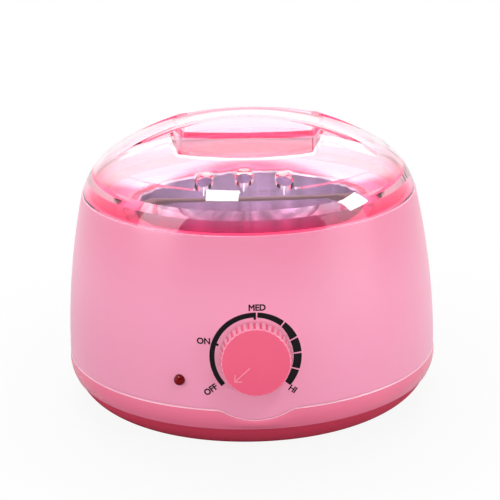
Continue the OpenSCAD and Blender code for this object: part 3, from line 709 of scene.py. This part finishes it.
# %% [markdown]
# ## The pot
# The aluminium pot is another body of revolution, with a round corner at its bottom and a flange that it hangs by. Two
# holes in its wall take the ends of the wire bail. The bail itself, the lid and the lamp keep their solids' own meshes:
# those come with exact normals, which count more on clear plastic and polished wire than a rounded edge does.

# %% Spin the pot
POT_R = 55.5
POT_T = 1.0
POT_TOP = 93.5
POT_FLOOR = 33.3
POT_CORNER = 8.0
FLANGE_R = 61.0
FLANGE_T = 1.2
FLANGE_ROUND = 0.5
BAIL_Z = 86.5
BAIL_HOLE_R = 1.25
BAIL_REACH = 70
MOUTH_ROUND = 1.0
POT_STEPS = 192
FLANGE_STEPS = 4

low = POT_FLOOR - POT_T
bend = POT_R + POT_T - POT_CORNER
corner_out = arc((bend, low), (POT_R + POT_T, low + POT_CORNER), POT_CORNER * ROUND, CURVE_STEPS)
corner_in = arc((bend, POT_FLOOR), (POT_R, low + POT_CORNER), (POT_CORNER - POT_T) * ROUND, CURVE_STEPS)
edge_low = arc((FLANGE_R - FLANGE_ROUND, POT_TOP - FLANGE_T), (FLANGE_R, POT_TOP - FLANGE_T + FLANGE_ROUND),
               FLANGE_ROUND * ROUND, FLANGE_STEPS)
edge_high = arc((FLANGE_R, POT_TOP - FLANGE_ROUND), (FLANGE_R - FLANGE_ROUND, POT_TOP), FLANGE_ROUND * ROUND,
                FLANGE_STEPS)
mouth = arc((POT_R + MOUTH_ROUND, POT_TOP), (POT_R, POT_TOP - MOUTH_ROUND), MOUTH_ROUND * ROUND, EDGE_STEPS)
pot_outline = [
    (0, low), (POT_R - POT_CORNER - 1, low), *corner_out, (POT_R + POT_T, low + POT_CORNER + 2),
    (POT_R + POT_T, POT_TOP - FLANGE_T - 1), (POT_R + POT_T, POT_TOP - FLANGE_T), *edge_low, *edge_high, *mouth,
    (POT_R, POT_TOP - 3), (POT_R, low + POT_CORNER + 2), *reversed(corner_in), (POT_R - POT_CORNER - 1, POT_FLOOR),
    (0, POT_FLOOR),
]
pot = spin_outline("wax_pot", pot_outline, POT_STEPS)
work_rods(pot, "DIFFERENCE", [((-BAIL_REACH, 0, BAIL_Z), (BAIL_REACH, 0, BAIL_Z), BAIL_HOLE_R)])
smooth(pot)
dress(pot, "pot", pot_metal, "pot_aluminium", "inner_pot")

# %% [markdown]
# ## Weld lines below the vents
# The lid's melt runs from the crown to the edge and parts at each vent. Where it meets again, a hair-thin pale line
# stays. Each line is a flat strip whose vertices are dropped onto the lid, with a little thickness.

# %% Drop strips onto the lid
VENTS_X = (-18.0, 0.0, 18.0)
WELD_FROM = -64.4
WELD_TO = -68.4
WELD_W = 0.4
WELD_T = 0.04
WELD_STEPS = 8
DROP_FROM = 200
LID_TURN = math.radians(-2.8)


def weld_line(x):
    deselect()
    bpy.ops.mesh.primitive_grid_add(x_subdivisions=1, y_subdivisions=WELD_STEPS, size=1, location=(0, 0, 0))
    piece = bpy.context.object
    lid = frame["nodes"]["lid_cover"]
    for vertex in piece.data.vertices:
        along = WELD_FROM + (0.5 - vertex.co.y) * (WELD_TO - WELD_FROM)
        above = Matrix.Rotation(LID_TURN, 3, "Z") @ Vector((x + vertex.co.x * WELD_W, along, DROP_FROM)) * MM
        _, at, normal, _ = lid.ray_cast(above, (0, 0, -1))
        vertex.co = at + normal * WELD_T * MM / 2
    apply_modifier(piece, "SOLIDIFY", thickness=WELD_T * MM, offset=0)
    return piece


weld_finish = matt_finish("weld_line", (0.92, 0.84, 0.90), 0.3, 600, 0.00002)
welds = join_pieces([weld_line(x) for x in VENTS_X], "weld_lines")
dress(welds, "lid", weld_finish, "lid_clear")

# %% [markdown]
# ## The fluted knob
# Flutes and arrow are in the knob's solid already. Its mesh is copied, its loose triangles are merged, and a bevel
# rounds its edges. The solid itself stays as it is. The crests between the flutes get a paler pink, a painted
# highlight, so that the flutes read from afar: they are picked by their distance from the axis. The raised arrow gets a
# painted highlight in a paler pink as well. A spun face closes the flutes in front, and its round edge has the same
# painted highlight.

# %% Copy the knob and round it
KNOB_ROUND = 0.3
KNOB_TOP = 8.2
KNOB_LOW = 1.0
KNOB_WALL_R = 13.5
CREST_LOW_R = 16.7
CREST_TOP_R = 15.5
CREST_EDGE = 0.26
FACE_R = 15.6
FACE_T = 0.9
FACE_UP = 0.06
FACE_ROUND = 0.5
FACE_STEPS = 144
FACE_EDGE_STEPS = 6
EDGE_LEAN = (0.1, 0.95)
SIDE_LEAN = 0.85
ARROW_UP = 0.05
MERGE_SOLID = 2e-6
KNOB_SHARP = 30
KNOB_SOFT = 34


def rounded_copy(node, name, width):
    piece = bpy.data.objects.new(name, frame["nodes"][node].data.copy())
    bpy.context.scene.collection.objects.link(piece)
    piece.data.name = name
    edit_all(piece)
    bpy.ops.mesh.remove_doubles(threshold=MERGE_SOLID)
    bpy.ops.mesh.customdata_custom_splitnormals_clear()
    bpy.ops.object.mode_set(mode="OBJECT")
    round_edges(piece, width, KNOB_SHARP)
    smooth(piece, KNOB_SOFT)
    apply_modifier(piece, "WEIGHTED_NORMAL", keep_sharp=True, weight=50, mode="FACE_AREA")
    return piece


def knob_place(at):
    """How far a point is up the knob's axis and how far from it, in millimetres."""
    up = (at - KNOB_FOOT).dot(KNOB_OUT)
    return up, (at - KNOB_FOOT - up * KNOB_OUT).length


def on_crests(at, normal):
    up, aside = knob_place(at)
    crest = CREST_LOW_R + (CREST_TOP_R - CREST_LOW_R) * (up - KNOB_LOW) / (KNOB_TOP - KNOB_LOW)
    return aside > crest - CREST_EDGE and up > KNOB_LOW and abs(normal.dot(KNOB_OUT)) < SIDE_LEAN


def on_arrow(at, normal):
    up, aside = knob_place(at)
    return up > KNOB_TOP + ARROW_UP and aside < KNOB_WALL_R


def on_face_edge(at, normal):
    return EDGE_LEAN[0] < normal.dot(KNOB_OUT) < EDGE_LEAN[1]


knob = rounded_copy("control_knob", "fluted_knob", KNOB_ROUND)
dress(knob, "knob", knob_plastic, "knob_pink", "control_knob")
# painted highlight on the flute crests
paint(knob, knob_highlight_plastic, faces_where(knob, on_crests))
# painted highlight on the raised arrow
paint(knob, arrow_highlight_pink, faces_where(knob, on_arrow))
face_top = KNOB_TOP + FACE_UP
face_edge = arc((FACE_R, face_top - FACE_ROUND), (FACE_R - FACE_ROUND, face_top), FACE_ROUND * ROUND,
                FACE_EDGE_STEPS)
face_outline = [(0, KNOB_TOP - FACE_T), (FACE_R, KNOB_TOP - FACE_T), *face_edge, (0, face_top)]
knob_face = spin_outline("knob_face", face_outline, FACE_STEPS)
turn = KNOB_OUT.to_track_quat("Z", "Y").to_matrix().to_4x4()
knob_face.data.transform(Matrix.Translation(KNOB_FOOT * MM) @ turn)
smooth(knob_face)
dress(knob_face, "knob", knob_plastic, "knob_pink")
# painted highlight on the face's round edge
paint(knob_face, knob_highlight_plastic, faces_where(knob_face, on_face_edge))

# %% [markdown]
# ## The printed dial
# The dial is printed on the curved wall: an arc in stretches that grow wider towards the hot end, short ticks and four
# plain words. Print has almost no thickness, so each mark is drawn flat, given a hair of depth and then laid on the
# wall.

# %% Lay flat marks on the wall
PRINT_OUT = 0.06
PRINT_IN = 0.15
PRINT_MERGE = 1e-5
wall_chord = Vector(RIM) - Vector(SEAM)
wall_radius = wall_chord.length_squared / (8 * WALL_BULGE) + WALL_BULGE / 2
wall_side = Vector((wall_chord.y, -wall_chord.x)).normalized()
wall_centre = (Vector(SEAM) + Vector(RIM)) / 2 + wall_side * (WALL_BULGE - wall_radius)


def wall_at(height):
    """The wall's radius at a height, in millimetres."""
    return wall_centre.x + math.sqrt(wall_radius ** 2 - (height - wall_centre.y) ** 2)


def lay_on_wall(piece):
    """Moves a flat mark, drawn in X and Z round the knob's axis in millimetres, onto the wall."""
    for vertex in piece.data.vertices:
        x, depth, up = vertex.co
        height = KNOB_Z + up * math.cos(KNOB_TILT)
        reach = wall_at(height) + (PRINT_OUT if depth < 0 else -PRINT_IN)
        vertex.co = Vector((x, -math.sqrt(reach ** 2 - x ** 2), height)) * MM


def thicken(piece):
    """Gives a flat mark a front at -Y and a back at +Y."""
    edit_all(piece)
    bpy.ops.mesh.remove_doubles(threshold=PRINT_MERGE)
    bpy.ops.transform.translate(value=(0, -1, 0))
    bpy.ops.mesh.extrude_region_move(TRANSFORM_OT_translate={"value": (0, 2, 0)})
    bpy.ops.mesh.select_all(action="SELECT")
    bpy.ops.mesh.normals_make_consistent(inside=False)
    bpy.ops.object.mode_set(mode="OBJECT")


# %% Print the arc and its ticks
DIAL_R = 20.8
THIN_W = 2.3
STEP_W = 2.7
WIDE_W = 3.7
OFF_ANGLE = -131
HI_ANGLE = 131
GAP = 2.0
DIAL_CUTS = [2.5, 40, 66, 87, 109.5]
TICKS = {"on": -71, "medium": 0, "high": 131}
TICK_L = 3.3
TICK_W = 1.1
STEP_TURN = 3
GROWN_AT = 40
HOT_AT = 66


def dial_width(angle):
    """The arc's width at an angle clockwise from the top, in degrees."""
    grown = min(max(angle / GROWN_AT, 0), 1)
    hot = min(max((angle - GROWN_AT) / (HOT_AT - GROWN_AT), 0), 1)
    return THIN_W + (STEP_W - THIN_W) * grown + (WIDE_W - STEP_W) * hot


def polar(angle, radius):
    return Vector((radius * math.sin(math.radians(angle)), 0, radius * math.cos(math.radians(angle))))


def print_stretch(start, end):
    """A flat strip of the arc, spun from an edge and then drawn to its width."""
    piece = one_vertex(polar(start, DIAL_R))
    bpy.ops.mesh.extrude_region_move(
        TRANSFORM_OT_translate={"value": polar(start, DIAL_R - THIN_W) - polar(start, DIAL_R)})
    bpy.ops.mesh.select_all(action="SELECT")
    steps = max(4, round((end - start) / STEP_TURN))
    bpy.ops.mesh.spin(steps=steps, angle=math.radians(end - start), center=(0, 0, 0), axis=(0, -1, 0))
    bpy.ops.object.mode_set(mode="OBJECT")
    for vertex in piece.data.vertices:
        if vertex.co.length < DIAL_R - THIN_W / 2:
            angle = math.degrees(math.atan2(vertex.co.x, vertex.co.z))
            vertex.co = polar(angle, DIAL_R - dial_width(angle))
    return piece


def print_tick(angle):
    """A short bar that points inwards from the arc."""
    deselect()
    bpy.ops.mesh.primitive_plane_add(size=1, location=(0, 0, 0))
    piece = bpy.context.object
    ends = (polar(angle, DIAL_R), polar(angle, DIAL_R - TICK_L))
    aside = polar(angle + 90, TICK_W / 2)
    corners = [ends[0] - aside, ends[0] + aside, ends[1] - aside, ends[1] + aside]
    for vertex, corner in zip(piece.data.vertices, corners):
        vertex.co = corner
    edit_all(piece)
    bpy.ops.mesh.subdivide(number_cuts=3)
    bpy.ops.object.mode_set(mode="OBJECT")
    return piece


stops = [OFF_ANGLE, *DIAL_CUTS, HI_ANGLE]
marks = [
    print_stretch(start + (GAP / 2 if start != OFF_ANGLE else 0), end - (GAP / 2 if end != HI_ANGLE else 0))
    for start, end in zip(stops, stops[1:])
]
marks += [print_tick(angle) for angle in TICKS.values()]
for mark in marks:
    thicken(mark)
    lay_on_wall(mark)
dial = join_pieces(marks, "dial_print")
dress(dial, "base", ink, "black_plastic")

# %% Print the words
WORD_H = 2.7
WORD_BOLD = 0.15
CAP_SHARE = 0.7
WORDS = [("MED", 1.1, 22.8, 0), ("ON", -23.2, 7.1, 0), ("OFF", -20.6, -15.7, 38), ("HI", 16.4, -16.1, -36)]


def print_word(text, x, up, turn):
    """A generic word of the dial, as a mesh, centred at x and up and turned in degrees."""
    deselect()
    bpy.ops.object.text_add(location=(0, 0, 0))
    piece = bpy.context.object
    piece.data.body = text
    piece.data.size = WORD_H / CAP_SHARE
    piece.data.align_x = "CENTER"
    piece.data.align_y = "CENTER"
    piece.data.resolution_u = 4
    bpy.ops.object.convert(target="MESH")
    place = Matrix.Translation((x, 0, up)) @ Matrix.Rotation(math.radians(-turn), 4, "Y")
    piece.data.transform(place @ Matrix.Rotation(math.radians(90), 4, "X"))
    thicken(piece)
    edit_all(piece)
    bpy.ops.transform.shrink_fatten(value=WORD_BOLD, use_even_offset=True)
    bpy.ops.object.mode_set(mode="OBJECT")
    lay_on_wall(piece)
    return piece


words = join_pieces([print_word(*word) for word in WORDS], "dial_words")
dress(words, "base", ink, "black_plastic")

# %% [markdown]
# ## What stays as it is
# The pieces inside the body and under it keep their solids' shapes, and only get their finish.

# %% Finish the other solids
FINISHES = {
    "plated_steel": steel, "contact_brass": brass, "cup_aluminium": cup_metal, "shaft_aluminium": shaft_metal,
    "fuse_case": fuse_metal, "foot_rubber": rubber, "gland_rubber": gland_rubber, "white_insulator": insulator,
    "black_plastic": black_plastic, "resistor_body": resistor_lacquer, "heater_sheet": mica, "wrap_cloth": cloth,
    "body_pink": body_plastic, "base_pink": base_plastic, "knob_pink": knob_plastic, "lid_clear": lid_plastic,
    "pot_aluminium": pot_metal, "bail_steel": wire_metal, "lamp_red": lamp_lens,
}
for part in frame["record"]["subparts"]:
    solid = frame["nodes"][part["node"]]
    solid.data.materials.clear()
    solid.data.materials.append(FINISHES[part["material_slot"]])

# %% [markdown]
# ## Floor and light
# The floor is plain and pale, and fades into a white world. The camera, mirrors and glass see that world as white, but
# it lights the object less than that, and gloss finds the room in front dimmer. Soft lamps do the rest, from above,
# from the front, from both sides and low on the right, where the base turns under. Glowing cards only show in gloss: a
# wide one with soft edges lies on the lid's crown as a sheen, and two small ones stand for the windows of a studio.

# %% Pale floor
FLOOR_R = 3.0
FLOOR_SIDES = 96
FLOOR_GREY = 0.35
PALE_NEAR = 0.92
PALE_FROM = 0.09
PALE_TO = 0.24
GLOSS_TO = 0.3
GLOSS_ASIDE = 0.08
FADE_FROM = 0.3
FADE_TO = 0.7


def rays(wire, *kinds):
    """1 for rays of any of these kinds, and 0 for others."""
    path = wire.tree.nodes.new("ShaderNodeLightPath")
    found = Wire(wire.tree, path.outputs[f"Is {kinds[0]} Ray"])
    for kind in kinds[1:]:
        found = wire.math("MAXIMUM", found, Wire(wire.tree, path.outputs[f"Is {kind} Ray"]))
    return found


def floor_finish():
    material, shader, wire = blank_finish("pale_floor", Roughness=0.6, Base_Color=(*[FLOOR_GREY] * 3, 1))
    place = wire.node("TexCoord", out="Object")
    distance = wire.node("VectorMath", {"operation": "LENGTH"}, {0: place}, out="Value")
    paler = soft_step(wire, distance, PALE_FROM, PALE_TO, PALE_NEAR)
    aside = wire.node("VectorMath", {"operation": "ADD"}, {0: place, 1: (GLOSS_ASIDE, 0, 0)})
    aside = wire.node("VectorMath", {"operation": "LENGTH"}, {0: aside}, out="Value")
    mirrored = soft_step(wire, aside, PALE_FROM, GLOSS_TO)
    whiteness = rays(wire, "Camera", "Transmission") * paler
    whiteness = wire.math("MAXIMUM", whiteness, rays(wire, "Glossy") * mirrored)
    fade = soft_step(wire, distance, FADE_FROM, FADE_TO)
    clear = wire.node("BsdfTransparent")
    white = wire.node("Emission", {}, {"Color": (1, 1, 1, 1), "Strength": 1.0})
    pale = wire.node("MixShader", {}, {0: whiteness, 1: Wire(wire.tree, shader.outputs[0]), 2: white})
    mixed = wire.node("MixShader", {}, {0: fade, 1: pale, 2: clear})
    mixed.feed(surface_of(material))
    return material


deselect()
bpy.ops.mesh.primitive_circle_add(vertices=FLOOR_SIDES, radius=FLOOR_R, fill_type="NGON", location=(0, 0, 0))
floor = bpy.context.object
floor.name = "pale_floor"
floor.data.materials.append(floor_finish())
print("floor:", FLOOR_R, "m")

# %% White world
AMBIENT = 0.45
FRONT_DIM = 0.15
FRONT_FROM = 0.1
FRONT_TO = 0.75
LEVEL_FROM = -0.05
LEVEL_TO = 0.12
world = bpy.data.worlds.new("white_studio")
bpy.context.scene.world = world
world.use_nodes = True
sky = Wire(world.node_tree)
way = sky.node("TexCoord", out="Generated")
in_front = soft_step(sky, 0 - split(sky, way, "Y"), FRONT_FROM, FRONT_TO)
in_front = in_front * soft_step(sky, split(sky, way, "Z"), LEVEL_FROM, LEVEL_TO)
glossy = rays(sky, "Glossy")
level = sky.math("MAXIMUM", rays(sky, "Camera", "Transmission"), (1 - glossy) * AMBIENT)
level = sky.math("MAXIMUM", level, glossy * (1 - in_front * (1 - FRONT_DIM)))
background = world.node_tree.nodes["Background"]
background.inputs["Color"].default_value = (1, 1, 1, 1)
level.feed(background.inputs["Strength"])
print("world:", AMBIENT, "for what it lights, 1 for what shows it")

# %% Soft lamps
LAMPS = {
    "overhead": ((0.0, 0.4, 1.0), (0.9, 0.7), 7, False),
    "key": ((0.28, -0.55, 0.8), (0.16, 0.16), 1.8, False),
    "left_side": ((-0.8, -0.4, 0.42), (0.5, 0.6), 3.3, True),
    "right_side": ((0.8, -0.36, 0.25), (0.5, 0.6), 1.6, True),
    "low_right": ((0.62, -0.62, 0.06), (0.4, 0.1), 1.0, False),
    "front_fill": ((-0.3, -1.6, 0.2), (1.6, 0.8), 4.6, False),
}
LAMP_AIM = Vector((0, 0, 0.06))
for name, (place, size, power, in_gloss) in LAMPS.items():
    deselect()
    bpy.ops.object.light_add(type="AREA", location=place)
    lamp = bpy.context.object
    lamp.name = name
    lamp.data.shape = "RECTANGLE"
    lamp.data.size, lamp.data.size_y = size
    lamp.data.energy = power
    lamp.visible_glossy = lamp.visible_transmission = in_gloss
    lamp.rotation_euler = (LAMP_AIM - Vector(place)).to_track_quat("-Z", "Y").to_euler()
print("lamps:", ", ".join(LAMPS))

# %% Glowing cards that only gloss shows
CARDS = {
    "sheen_card": ([(-1.3, 1.2, 0.25), (1.3, 1.2, 0.25), (1.3, 0.42, 1.27), (-1.3, 0.42, 1.27)], 11, 0.15, 0.95),
    "window_left": ([(-0.307, 0.186, 1.257), (-0.048, 0.126, 1.303), (-0.114, -0.424, 1.257), (-0.451, -0.347, 1.2)],
                    24, 0.03, 0.03),
    "window_right": ([(0.954, 0.092, 0.885), (1.153, 0.06, 0.576), (1.111, -0.329, 0.589), (0.923, -0.266, 0.897)],
                     24, 0.03, 0.03),
}


def card_finish(name, strength, soft, climb):
    """A glow that fades out over a share of the card at its sides and top, and over another at its foot."""
    material, _, wire = blank_finish(name)
    place = wire.node("UVMap", {"uv_map": "UVMap"})
    across = split(wire, place, "X")
    up = split(wire, place, "Y")
    mask = soft_step(wire, up, 0, climb)
    for inwards in (1 - up, across, 1 - across):
        mask = soft_step(wire, inwards, 0, soft) * mask
    glow = wire.node("Emission", {}, {"Color": (1, 1, 1, 1), "Strength": strength})
    mixed = wire.node("MixShader", {}, {0: mask, 1: wire.node("BsdfTransparent"), 2: glow})
    mixed.feed(surface_of(material))
    return material


for name, (corners, strength, soft, climb) in CARDS.items():
    deselect()
    bpy.ops.mesh.primitive_plane_add(size=1, location=(0, 0, 0))
    card = bpy.context.object
    card.name = name
    for vertex, corner in zip(card.data.vertices, [corners[0], corners[1], corners[3], corners[2]]):
        vertex.co = corner
    card.data.materials.append(card_finish(name, strength, soft, climb))
    card.visible_camera = card.visible_diffuse = card.visible_transmission = card.visible_shadow = False
print("cards:", ", ".join(CARDS))

# %% Plain view settings, and enough bounces for clear plastic
bpy.context.scene.view_settings.view_transform = "Standard"
paths = bpy.context.scene.cycles
paths.max_bounces = 32
paths.glossy_bounces = 16
paths.transmission_bounces = 32
paths.transparent_max_bounces = 24
print("view:", bpy.context.scene.view_settings.view_transform, "with", paths.max_bounces, "bounces")
